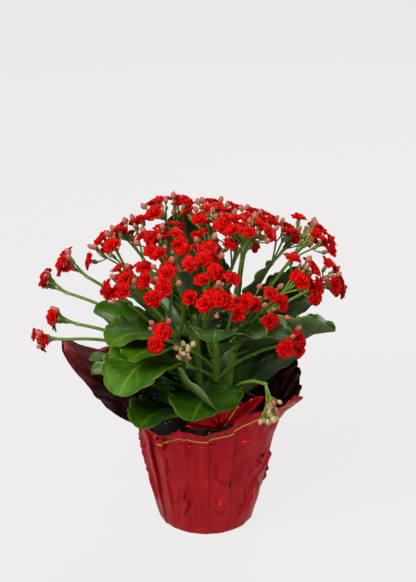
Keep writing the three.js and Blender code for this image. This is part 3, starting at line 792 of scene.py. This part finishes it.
def buildTruss(number, node, truss):
    s = trussCut
    green, bloom = newBag(), newBag()
    path = smoothPath(truss["path"], 22)
    radii = np.linspace(s["stalkFoot"], s["stalkTip"], 22)
    radii[12:14] *= 1.22
    radii[-1] *= 1.25
    addTube(green, path, radii, 10, 0, span=(0.1, 0.75))
    fork = truss["path"][-1]
    facing = unit(fork - path[-3])
    side = crossAxes(path[13] - path[12])[0]
    if np.linalg.norm(fork - truss["path"][0]) > 0.05:
        for sign in (-1, 1):
            addLeaflet(green, path[12], unit(path[13] - path[12]) + side * sign * 0.9, side * sign,
                       random.uniform(1.3, 2.2) * s["bractLength"], 1.5 * s["bractWidth"], 7)
    items = [(p, a, True) for p, a in truss["florets"]] + [(p, a, False) for p, a in truss["buds"]]
    if not items:
        return
    hanging = not truss["florets"]
    side, over = crossAxes(facing)
    bearing = lambda item: math.atan2(np.dot(item[0] - fork, over), np.dot(item[0] - fork, side))
    offAxis = lambda item: np.linalg.norm(np.cross(item[0] - fork, facing))
    middle = min(items, key=offAxis)
    others = sorted([i for i in items if i is not middle], key=bearing)
    groupCount = max(1, round(len(others) / 2.6))
    groups = [list(g) for g in np.array_split(np.arange(len(others)), groupCount)] if others else []
    groups = [[others[i] for i in g] for g in groups if len(g)] + [[middle]]
    for group in groups:
        feet = [p - a * (floretCut["tubeFoot"] if isOpen else s["budFoot"]) for p, a, isOpen in group]
        centre = np.mean(feet, 0)
        reach = 0.55 if len(group) > 1 else 0.35
        knee = fork + (centre - fork) * reach + facing * np.linalg.norm(centre - fork) * 0.10
        branch = smoothPath([fork - facing * mm, fork * 0.5 + knee * 0.5, knee], 6)
        radii = [s["branchRadius"] * share for share in (1.15, 0.85, 1)]
        addTube(green, branch, radii, 7, 0, span=(0.55, 0.85))
        outward = unit(knee - fork)
        sideways = crossAxes(outward)[0]
        for sign in (-1, 1):
            addLeaflet(green, knee, unit(outward + sideways * sign * 0.8), sideways * sign,
                       s["bractLength"] * random.uniform(0.6, 1.1), s["bractWidth"] * 0.8, 5)
        for (place, axis, isOpen), foot in zip(group, feet):
            bend = (knee + foot) / 2 - axis * 0.8 * mm
            radii = [s["pedicelRadius"] * share for share in (1.1, 0.9, 1.5)]
            addTube(green, smoothPath([knee, bend, foot], 5), radii, 6, 0, span=(0.7, 1))
            if isOpen:
                openness = random.choice([1, 1, 0.95, 0.85, 0.6])
                addFloret(bloom, place, axis, openness, random.uniform(0.94, 1.04))
                addBud(green, place - axis * 5.2 * mm, axis, 1.75 * mm, 4.6 * mm, 0, 5, 8)
                addSepals(green, foot, axis, 2.0 * mm, 4.2 * mm)
            else:
                size = random.uniform(0.84, 1.05)
                addBud(bloom, place, axis, s["budRadius"] * size, s["budLength"] * size, 2 if hanging else 1)
                addSepals(green, foot, axis, 2.3 * mm * size, 3.6 * mm)
        if random.random() < s["extraFlorets"] and truss["florets"]:  # one more floret, lower in the cyme
            lean = unit(outward + sideways * random.uniform(-0.8, 0.8) + facing * 0.5)
            place = knee + lean * random.uniform(10, 13) * mm
            foot = place - lean * floretCut["tubeFoot"]
            pedicel = smoothPath([knee, (knee + foot) / 2, foot], 4)
            addTube(green, pedicel, [s["pedicelRadius"]] * 2, 6, 0, span=(0.7, 1))
            addFloret(bloom, place, lean, random.choice([1, 0.8, 0.6, 0.4]), random.uniform(0.8, 1.0))
            addSepals(green, foot, lean, 2.0 * mm, 4.2 * mm)
        for _ in range(s["extraBuds"]):  # young buds that fill the cyme
            lean = unit(outward + sideways * random.uniform(-0.9, 0.9) + facing * random.uniform(0.1, 0.7))
            length = random.uniform(5, 9) * mm
            place = knee + lean * length
            size = random.uniform(0.5, 0.85)
            pedicel = smoothPath([knee, knee + lean * length * 0.5, place], 4)
            addTube(green, pedicel, [s["pedicelRadius"] * 0.8] * 2, 5, 0, span=(0.8, 1))
            finish = 2 if random.random() < 0.5 else 1
            addBud(bloom, place + lean * 2 * mm, lean, s["budRadius"] * size, 6.6 * mm * size, finish, 6, 8)
    makeObject(green, f"truss_{number:02d}_stalk", [stalkGreen], node)
    makeObject(bloom, f"truss_{number:02d}_bloom", [petalScarlet, budPink, budPale], node)


trussCount = 0
for node in plantNodes:
    for truss in plants[node]["trusses"]:
        trussCount += 1
        buildTruss(trussCount, node, truss)
print("trusses", trussCount)


coverCut = dict(
    columns=360, bottomRows=9, footRows=4, wallRows=50, flareRows=34,
    thick=0.36 * mm, footRound=3 * mm, clearance=0.25 * mm, underside=0.35 * mm,
    pleats=17, pleatRim=4.2 * mm, pleatFoot=1.5 * mm, crumple=1.7 * mm,
    overlap=4.5,  # degrees that a pleat's proud edge leans over the next pleat
    goldInset=8.5 * mm, goldWidth=1.3 * mm,
    pinches=78, pinchDepth=3.0 * mm,
    stepUp=2.2 * mm,  # how unevenly the pleats' ends stand along the free edge
    # mm above the rim of the front's free edge at each azimuth, where it differs from the solid cover's
    frontEdge={222: 9, 231: 5, 240: 10, 250: 17, 256: 14, 268: 13, 281: 19, 297: 26, 311: 31, 320: 33,
               328: 41, 334: 36, 345: 26},
)
fanCut = dict(
    pivot=281, pivotUp=18 * mm, columns=96, rows=30, inset=1.8 * mm, lean=0.16, ribs=7, ribDepth=3.4 * mm,
    # outline of the turned-over corner, as azimuth and mm above the rim
    outline=[(252, 19), (257, 23), (264, 29), (272, 34), (281, 37), (290, 39), (301, 43), (308, 44),
             (316, 42), (326, 37)],
    mark=[(284.5, 21), (288, 28), (293, 38), (296, 37)],  # printed line, bent at the sheet's corner
)
uvLength = 0.1  # one step of the film's second coordinate, in metres from its free edge


def coverProfile():
    verts = np.array([v.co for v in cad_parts["pot_cover"].data.vertices])
    verts = np.unique(np.round(verts, 6), axis=0)
    azimuth = np.degrees(np.arctan2(verts[:, 1], verts[:, 0])) % 360
    radius = np.hypot(verts[:, 0], verts[:, 1])
    columns = []
    for turn in range(0, 360, 5):
        near = (np.abs((azimuth - turn + 180) % 360 - 180) < 0.6) & (radius > 0.02)
        ring = sorted(zip(verts[near, 2], radius[near]))
        pairs = zip(ring[0::2], ring[1::2])
        columns.append([((a[1] + b[1]) / 2, (a[0] + b[0]) / 2) for a, b in pairs])
    return np.array(columns)  # azimuth, station, (radius, height)


profile = coverProfile()
rimStation = 3
rimHeight = float(profile[:, rimStation, 1].mean())
rimRadius = float(profile[:, rimStation, 0].min())
footRadius = float(profile[:, 0, 0].min())


def aroundProfile(turns, station, part):
    values = profile[:, station, part]
    return np.interp(turns % 360, np.arange(0, 365, 5), np.append(values, values[0]))


def tri(x):
    return 2 * np.abs((x % 1) - 0.5)


# Creases of a crushed film: folded waves in several directions, stronger in some places.
def crush(u, v, seed):
    rng = np.random.default_rng(seed)
    out = np.zeros_like(u)
    warpU = u + 6 * np.sin(v / 17 + seed) + 4 * np.sin(v / 7.3 + u / 23)
    warpV = v + 7 * np.sin(u / 15 + 2 * seed)
    for size, weight in ((46, 1.0), (27, 0.7), (15, 0.45), (9, 0.25)):
        angle = rng.uniform(-0.5, 0.5)
        phase = rng.uniform(0, 1)
        first = tri((warpU * math.cos(angle) + warpV * math.sin(angle) * 0.35) / size + phase)
        angle = rng.uniform(0.6, 2.4)
        second = tri((warpU * math.cos(angle) + warpV * math.sin(angle)) / (size * 1.3) + rng.uniform(0, 1))
        patches = np.sin(u / (size * 1.9) + phase * 9) * np.sin(v / (size * 1.7) + phase * 5)
        gate = np.clip(patches + 0.45, 0, 1)
        out += weight * (0.6 * first + 0.6 * second * gate - 0.5)
    return out


# Short pinched folds, mostly upright: a dent with a raised lip on one side.
def makePinches():
    rng = np.random.default_rng(21)
    s = coverCut
    return [dict(turn=rng.uniform(0, 360), up=rng.uniform(12, 92), lean=rng.normal(0, 0.45),
                 half=rng.uniform(7, 22), depth=rng.uniform(0.4, 1.0) * s["pinchDepth"])
            for _ in range(s["pinches"])]


def pinchField(turns, height, pinches):
    out = np.zeros_like(turns)
    for p in pinches:
        u = ((turns - p["turn"] + 180) % 360 - 180) * 0.95
        v = height - p["up"]
        along = v * math.cos(p["lean"]) + u * math.sin(p["lean"])
        across = u * math.cos(p["lean"]) - v * math.sin(p["lean"])
        fade = np.clip(1 - (along / p["half"]) ** 2, 0, 1)
        lip = np.exp(-((across - 2.4) / 1.5) ** 2)
        dent = 1.2 * np.exp(-(across / 1.2) ** 2)
        out += p["depth"] * fade * (lip - dent)
    return out


def pleatPhase(turns):
    even = turns / 360 * coverCut["pleats"]
    return even + 0.23 * np.sin(np.radians(turns * 3)) + 0.16 * np.sin(np.radians(turns * 5 + 40))


def pleatShape(turns, share):
    s = coverCut
    lean = 0.10 * (np.asarray(share) - 0.5) * np.sin(np.radians(turns * 4))
    phase = pleatPhase(turns) + lean
    index = np.floor(phase).astype(int) % s["pleats"]
    rng = np.random.default_rng(5)
    depth = rng.uniform(0.35, 1.0, s["pleats"])[index]
    fold = phase - np.floor(phase)
    rise = np.clip(fold / 0.93, 0, 1) ** 1.7
    drop = np.clip((fold - 0.93) / 0.07, 0, 1)
    saw = rise * (1 - drop)
    return saw * depth * (s["pleatFoot"] + (s["pleatRim"] - s["pleatFoot"]) * np.clip(share, 0, 1) ** 0.8)


# How far each pleat's proud edge leans over the next one, in radians.
def foldOver(turns, share):
    s = coverCut
    full = s["pleatFoot"] + (s["pleatRim"] - s["pleatFoot"]) * share ** 0.8
    return math.radians(s["overlap"]) * np.clip(pleatShape(turns, share) / full, 0, 1) ** 3


def flareTop(turns):
    up = aroundProfile(turns, 6, 1) - rimHeight
    table = coverCut["frontEdge"]
    keys = sorted(table)
    inFront = (turns >= keys[0]) & (turns <= keys[-1])
    up = np.where(inFront, np.interp(turns, keys, [table[k] * mm for k in keys]), up)
    phase = pleatPhase(turns)
    steps = np.random.default_rng(11).uniform(-1, 1, 40)[np.floor(phase).astype(int)]
    slope = (phase - np.floor(phase) - 0.5) * steps
    return np.maximum(up + coverCut["stepUp"] * (0.6 * steps + 0.8 * slope), 2 * mm)


# Middle surface of the film for arrays of azimuth in degrees and height above the rim in metres.
def flarePoint(turns, up):
    full = np.maximum(aroundProfile(turns, 6, 1) - rimHeight, 1 * mm)
    share = np.clip(up / full, 0, 1.35)
    out = aroundProfile(turns, 6, 0) - aroundProfile(turns, 3, 0)
    return rimRadius + out * share ** 1.25


def sheetNormals(points, wrap):
    if wrap:
        du = np.roll(points, -1, 1) - np.roll(points, 1, 1)
    else:
        du = np.gradient(points, axis=1)
    dv = np.gradient(points, axis=0)
    n = np.cross(du, dv)
    length = np.linalg.norm(n, axis=-1, keepdims=True)
    return n / np.maximum(length, 1e-12)


def coverSheet():
    s = coverCut
    turns = np.arange(s["columns"]) * 360 / s["columns"]
    rows, pinches = [], makePinches()
    angles = np.radians(turns)
    for k in range(s["bottomRows"]):  # the flat foot, from its middle outwards
        r = (footRadius - s["footRound"]) * (k / (s["bottomRows"] - 1)) ** 0.8
        z = s["underside"] + 0.3 * mm * np.sin(angles * 11 + k) * (k > 1)
        rows.append(np.stack([r * np.cos(angles), r * np.sin(angles), z + 0 * angles], -1))
    for k in range(1, s["footRows"] + 1):  # the rounded turn up into the wall
        blend = k / (s["footRows"] + 1)
        a = math.pi / 2 * blend
        r = footRadius + 0.4 * mm - s["footRound"] * (1 - math.sin(a))
        z = s["underside"] + s["footRound"] * (1 - math.cos(a))
        r = r + pleatShape(turns, 0.0) * blend
        rows.append(np.stack([r * np.cos(angles), r * np.sin(angles), z + 0 * angles], -1))
    start = s["footRound"] + s["underside"]
    for k in range(s["wallRows"]):
        share = k / (s["wallRows"] - 1)
        z = start + (rimHeight - start) * share
        wall = footRadius + (rimRadius - footRadius) * z / rimHeight + s["clearance"]
        crumple = s["crumple"] * (crush(turns * 1.05, np.full_like(turns, z / mm), 3) + 0.35)
        puff = pleatShape(turns, share) + crumple + pinchField(turns, z / mm, pinches)
        r = wall + np.maximum(puff, 0) * min(1, 0.25 + 3 * share)
        bearing = angles + foldOver(turns, share) * min(1, 3 * share)
        rows.append(np.stack([r * np.cos(bearing), r * np.sin(bearing), z + 0 * angles], -1))
    top = flareTop(turns)
    for k in range(1, s["flareRows"] + 1):
        share = k / s["flareRows"]
        up = top * share
        r = flarePoint(turns, up) + pleatShape(turns, 1.0) * (1 - 0.55 * share)
        r = r + s["crumple"] * 1.5 * crush(turns * 1.3, 98 + up / mm, 4) * (0.6 + 0.4 * share)
        z = rimHeight + up + 0.8 * mm * share * np.sin(angles * 13 + 1) * np.clip(up / 0.02, 0, 1)
        bearing = angles + foldOver(turns, 1.0) * (1 - 0.7 * share)
        rows.append(np.stack([r * np.cos(bearing), r * np.sin(bearing), z], -1))
    return turns, np.array(rows)


# Both faces of the film round a middle surface, the outer one first in uvs and finishes.
def addFilm(bag, points, uvs, finishes, edges, wrap=False):
    half = sheetNormals(points, wrap) * coverCut["thick"] / 2
    outer, inner = points + half, points - half
    for edge in edges:
        outer[edge] = points[edge]
        inner[edge] = points[edge]
    addGrid(bag, outer, uvs[0], finishes[0], wrap=wrap)
    addGrid(bag, inner, uvs[1], finishes[1], flip=True, wrap=wrap)


def edgeDistance(points, edge):
    flat = points.reshape(-1, 3)
    out = np.full(len(flat), 1.0)
    for k in range(0, len(flat), 4000):
        gap = flat[k:k + 4000, None] - edge[None]
        out[k:k + 4000] = np.sqrt((gap ** 2).sum(-1)).min(1)
    return out.reshape(points.shape[:2])


def fanPlace(turns, up, extra=0.0):
    s = fanCut
    r = rimRadius + 2.4 * mm - s["inset"] + s["lean"] * up + extra
    a = np.radians(turns)
    return np.stack([r * np.cos(a), r * np.sin(a), rimHeight + up], -1)


def fanSheet():
    s = fanCut
    outline = np.array(s["outline"], float)
    pick = np.linspace(0, len(outline) - 1, s["columns"])
    turnsEdge = np.interp(pick, np.arange(len(outline)), outline[:, 0])
    upEdge = np.interp(pick, np.arange(len(outline)), outline[:, 1]) * mm
    share = np.linspace(0.02, 1, s["rows"])[:, None]
    turns = s["pivot"] + (turnsEdge - s["pivot"])[None] * share
    up = s["pivotUp"] + (upEdge - s["pivotUp"])[None] * share
    across = np.linspace(0, s["ribs"], s["columns"]) + 0.2 * np.sin(np.linspace(0, 17, s["columns"]))
    rib = np.abs(np.sin(math.pi * across))[None] ** 0.8
    extra = s["ribDepth"] * (rib - 0.5) * np.sin(share * 2.3) + 0.25 * mm * crush(turns * 1.2, up / mm, 8)
    return fanPlace(turns, up, extra)


def makeGold():
    tree, given, out = newGroup(
        "printedLine",
        [("Inset", "NodeSocketFloat", 0.5), ("Width", "NodeSocketFloat", 0.05)],
        [("Mask", "NodeSocketFloat")],
    )
    v = growUv(tree)[1]
    off = doMath(tree, "ABSOLUTE", doMath(tree, "SUBTRACT", v, given.outputs["Inset"]))
    thin = doMath(tree, "MULTIPLY", given.outputs["Width"], 0.5)
    tree.links.new(doMath(tree, "LESS_THAN", off, thin), out.inputs["Mask"])
    return tree


goldLine = makeGold()


def filmMaterial(name, low, high, gold, metallic, roughness, scuff, streak):
    material, tree, shader = newMaterial(name)
    line = useGroup(tree, goldLine, Inset=coverCut["goldInset"] / uvLength,
                    Width=coverCut["goldWidth"] / uvLength)
    broad = noiseOf(tree, 26.0, 4.0, 0.6, None, 0.6)
    fine = noiseOf(tree, 190.0, 5.0, 0.7)
    place = put(tree, "ShaderNodeTexCoord").outputs["Object"]
    stretched = put(tree, "ShaderNodeMapping")
    stretched.inputs["Scale"].default_value = (1.0, 1.0, 0.14)
    tree.links.new(place, stretched.inputs["Vector"])
    pulls = noiseOf(tree, 120.0, 4.0, 0.6, stretched.outputs[0])
    tone = doMath(tree, "ADD", doMath(tree, "MULTIPLY", broad, 0.55), doMath(tree, "MULTIPLY", pulls, 0.45))
    colour = ramp(tree, tone, [(0.36, low), (0.64, high)])
    colour = mixColour(tree, line.outputs["Mask"], colour, gold)
    tree.links.new(colour, shader.inputs["Base Color"])
    rubbed = between(tree, fine, 0.3, 0.75, roughness - 0.05, roughness + scuff)
    tree.links.new(rubbed, shader.inputs["Roughness"])
    height = doMath(tree, "ADD", doMath(tree, "MULTIPLY", pulls, 0.8 * streak),
                    doMath(tree, "MULTIPLY", fine, 0.25))
    tree.links.new(bumpFrom(tree, height, 0.45, 0.6 * mm), shader.inputs["Normal"])
    shader.inputs["Metallic"].default_value = metallic
    shader.inputs["Specular IOR Level"].default_value = 0.3
    return material


foilOuter = filmMaterial("foilOuterMatt", (0.42, 0.004, 0.010), (0.66, 0.018, 0.028),
                         (0.82, 0.50, 0.06), 0.62, 0.32, 0.12, 0.6)
# The film's inner face in two copies of one finish: painted shade and dark reflection inside the cover, and
# painted light and bright reflection on the turned-over corner.
foilShadedInner = filmMaterial("foilInnerPaintedShade", (0.045, 0.001, 0.001), (0.13, 0.002, 0.003),
                         (0.80, 0.66, 0.02), 0.90, 0.24, 0.08, 0.3)
foilLitInner = filmMaterial("foilInnerPaintedLight", (0.30, 0.002, 0.005), (0.60, 0.006, 0.014),
                         (0.84, 0.72, 0.02), 0.92, 0.22, 0.08, 0.3)


def addCover(bag):
    turns, sheet = coverSheet()
    print("cover rows", sheet.shape)
    gap = edgeDistance(sheet, sheet[-1])
    uv = np.stack([np.broadcast_to(turns / 360, gap.shape), gap / uvLength], -1)
    plain = uv * [1, 0] + [0, 2]  # the line is printed on the outside only
    # The cover's inside takes the inner film's painted-shade copy (finish 1).
    addFilm(bag, sheet, (uv, plain), (0, 1), (np.s_[-1, :], np.s_[0, :]), wrap=True)


def addFan(bag):
    fan = fanSheet()
    mark = np.array(fanCut["mark"], float)
    corners = np.arange(len(mark))
    along = np.linspace(0, len(mark) - 1, 90)
    line = fanPlace(np.interp(along, corners, mark[:, 0]), np.interp(along, corners, mark[:, 1]) * mm)
    gap = edgeDistance(fan, line) + coverCut["goldInset"]
    uv = np.stack([np.broadcast_to(np.linspace(0, 1, fan.shape[1]), gap.shape), gap / uvLength], -1)
    # The turned-over corner's inner face takes the inner film's painted-light copy (finish 2).
    addFilm(bag, fan, (uv, uv), (2, 0), (np.s_[0, :], np.s_[-1, :], np.s_[:, 0], np.s_[:, -1]))


cover = newBag()
addCover(cover)
addFan(cover)
makeObject(cover, "foil_cover", [foilOuter, foilShadedInner, foilLitInner], "pot_cover")


def potMaterial():
    material, tree, shader = newMaterial("potBlack")
    fine = noiseOf(tree, 520.0, 4.0, 0.6)
    dust = noiseOf(tree, 34.0, 4.0, 0.65)
    dusty = between(tree, dust, 0.45, 0.8, 0.0, 0.35)
    colour = mixColour(tree, dusty, (0.014, 0.014, 0.014), (0.055, 0.046, 0.038))
    tree.links.new(colour, shader.inputs["Base Color"])
    tree.links.new(between(tree, fine, 0.3, 0.7, 0.42, 0.66), shader.inputs["Roughness"])
    tree.links.new(bumpFrom(tree, fine, 0.35, 0.2 * mm), shader.inputs["Normal"])
    return material


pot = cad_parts["nursery_pot"]
pot.data.materials.clear()
pot.data.materials.append(potMaterial())

peatLow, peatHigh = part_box("peat")
peatCut = dict(rows=26, columns=84, lump=1.6 * mm, crumb=0.7 * mm, perlite=46, bark=30,
               footShare=0.66)


def peatMaterial():
    material, tree, shader = newMaterial("peatBrown")
    lumps = noiseOf(tree, 160.0, 6.0, 0.7)
    fibres = noiseOf(tree, 700.0, 5.0, 0.75)
    tone = doMath(tree, "ADD", doMath(tree, "MULTIPLY", lumps, 0.6), doMath(tree, "MULTIPLY", fibres, 0.4))
    colour = ramp(tree, tone, [(0.34, (0.006, 0.004, 0.003)), (0.55, (0.030, 0.016, 0.009)),
                               (0.72, (0.085, 0.048, 0.026))])
    tree.links.new(colour, shader.inputs["Base Color"])
    tree.links.new(between(tree, fibres, 0.3, 0.7, 0.8, 1.0), shader.inputs["Roughness"])
    tree.links.new(bumpFrom(tree, lumps, 0.9, 1.2 * mm), shader.inputs["Normal"])
    return material


def perliteMaterial():
    material, tree, shader = newMaterial("perliteWhite")
    pores = noiseOf(tree, 1500.0, 4.0, 0.6)
    colour = mixColour(tree, between(tree, pores, 0.35, 0.65), (0.42, 0.38, 0.32), (0.78, 0.75, 0.70))
    tree.links.new(colour, shader.inputs["Base Color"])
    tree.links.new(between(tree, pores, 0.3, 0.7, 0.7, 0.95), shader.inputs["Roughness"])
    tree.links.new(bumpFrom(tree, pores, 0.6, 0.3 * mm), shader.inputs["Normal"])
    return material


def buildPeat():
    s = peatCut
    radius = (peatHigh.x - peatLow.x) / 2
    crown = peatHigh.z
    edgeZ = crown - 3 * mm
    angles = np.linspace(0, 2 * math.pi, s["columns"], endpoint=False)
    rows = [[(0, 0, peatLow.z)] * s["columns"]]
    foot = radius * s["footShare"]
    rows.append([(foot * math.cos(a), foot * math.sin(a), peatLow.z) for a in angles])
    for k in range(s["rows"] + 1):
        share = 1 - k / s["rows"]
        row = []
        for a in angles:
            r = (radius - 0.5 * mm) * share
            z = edgeZ + (crown - edgeZ) * min(1, (1 - share) / 0.4)
            q = Vector((r * math.cos(a) * 90, r * math.sin(a) * 90, 0))
            z += s["lump"] * noise.noise(q) + s["crumb"] * noise.noise(q * 3.7)
            row.append((r * math.cos(a), r * math.sin(a), z))
        rows.append(row)
    bag = newBag()
    v = np.linspace(0, 1, len(rows))
    uv = np.stack(np.meshgrid(angles / 6.283, v), -1)
    addGrid(bag, rows, uv, 0, wrap=True)
    for k in range(s["perlite"] + s["bark"]):
        a, r = random.random() * 6.283, radius * math.sqrt(random.uniform(0.02, 0.9))
        place = np.array([r * math.cos(a), r * math.sin(a), crown - 1.2 * mm * (r / radius) + 0.3 * mm])
        axis = unit(np.array([random.uniform(-1, 1), random.uniform(-1, 1), random.uniform(0.2, 1)]))
        isWhite = k < s["perlite"]
        size = random.uniform(0.8, 1.7) * mm
        addBud(bag, place, axis, size, size * (2.2 if isWhite else 5), 1 if isWhite else 0, 5, 7)
    makeObject(bag, "peat_surface", [peatMaterial(), perliteMaterial()], "peat")


buildPeat()
print("pot and peat done")


studio = dict(
    elevation=22.0, distance=1.25, lens=90.2, aimX=1.7 * mm, aimShare=0.733,
    keyPower=34.0, fillPower=7.0, backPower=15.0,
    worldLight=0.34, worldSeen=0.98, floorGlow=0.885, floorBounce=0.44,
)


def floorMaterial():
    material, tree, shader = newMaterial("floorPale")
    fine = noiseOf(tree, 3.0, 2.0)
    colour = mixColour(tree, fine, (0.050, 0.049, 0.049), (0.056, 0.055, 0.055))
    tree.links.new(colour, shader.inputs["Base Color"])
    shader.inputs["Roughness"].default_value = 0.9
    shader.inputs["Specular IOR Level"].default_value = 0.0
    shader.inputs["Emission Color"].default_value = (0.90, 0.885, 0.885, 1)
    seen = put(tree, "ShaderNodeLightPath").outputs["Is Camera Ray"]
    glow = between(tree, seen, 0, 1, studio["floorBounce"], studio["floorGlow"])
    tree.links.new(glow, shader.inputs["Emission Strength"])
    return material


def buildStudio():
    s = studio
    bpy.ops.mesh.primitive_circle_add(vertices=96, radius=14, fill_type="NGON", location=(0, 0, 0))
    floor = bpy.context.object
    floor.name = "floor"
    floor.data.materials.append(floorMaterial())
    world = bpy.data.worlds.new("studioWorld")
    world.use_nodes = True
    sky = world.node_tree.nodes["Background"]
    sky.inputs["Color"].default_value = (0.86, 0.84, 0.84, 1)
    tree = world.node_tree
    seen = put(tree, "ShaderNodeLightPath").outputs["Is Camera Ray"]
    tree.links.new(between(tree, seen, 0, 1, s["worldLight"], s["worldSeen"]), sky.inputs["Strength"])
    bpy.context.scene.world = world
    aim = Vector((0, 0, cadHigh.z * 0.6))
    for name, place, size, power in (
        ("keyLight", (-0.9, -1.1, 1.5), 1.1, s["keyPower"]),
        ("fillLight", (1.3, -0.7, 0.9), 0.9, s["fillPower"]),
        ("backLight", (0.4, 1.3, 1.4), 1.0, s["backPower"]),
    ):
        lamp = bpy.data.lights.new(name, "AREA")
        lamp.shape = "DISK"
        lamp.size = size
        lamp.energy = power
        obj = bpy.data.objects.new(name, lamp)
        obj.location = place
        obj.rotation_euler = (aim - Vector(place)).to_track_quat("-Z", "Y").to_euler()
        bpy.context.scene.collection.objects.link(obj)
    camera = bpy.data.cameras.new("camera")
    camera.lens = s["lens"]
    cameraObject = bpy.data.objects.new("camera", camera)
    bpy.context.scene.collection.objects.link(cameraObject)
    tilt = math.radians(s["elevation"])
    aim = Vector((s["aimX"], 0, cadHigh.z * s["aimShare"]))
    cameraObject.location = aim + Vector((0, -math.cos(tilt), math.sin(tilt))) * s["distance"]
    cameraObject.rotation_euler = (aim - cameraObject.location).to_track_quat("-Z", "Y").to_euler()
    bpy.context.scene.camera = cameraObject
    bpy.context.scene.view_settings.view_transform = "Standard"


buildStudio()

print("cad box", [round(c / mm, 1) for c in (*cadLow, *cadHigh)])
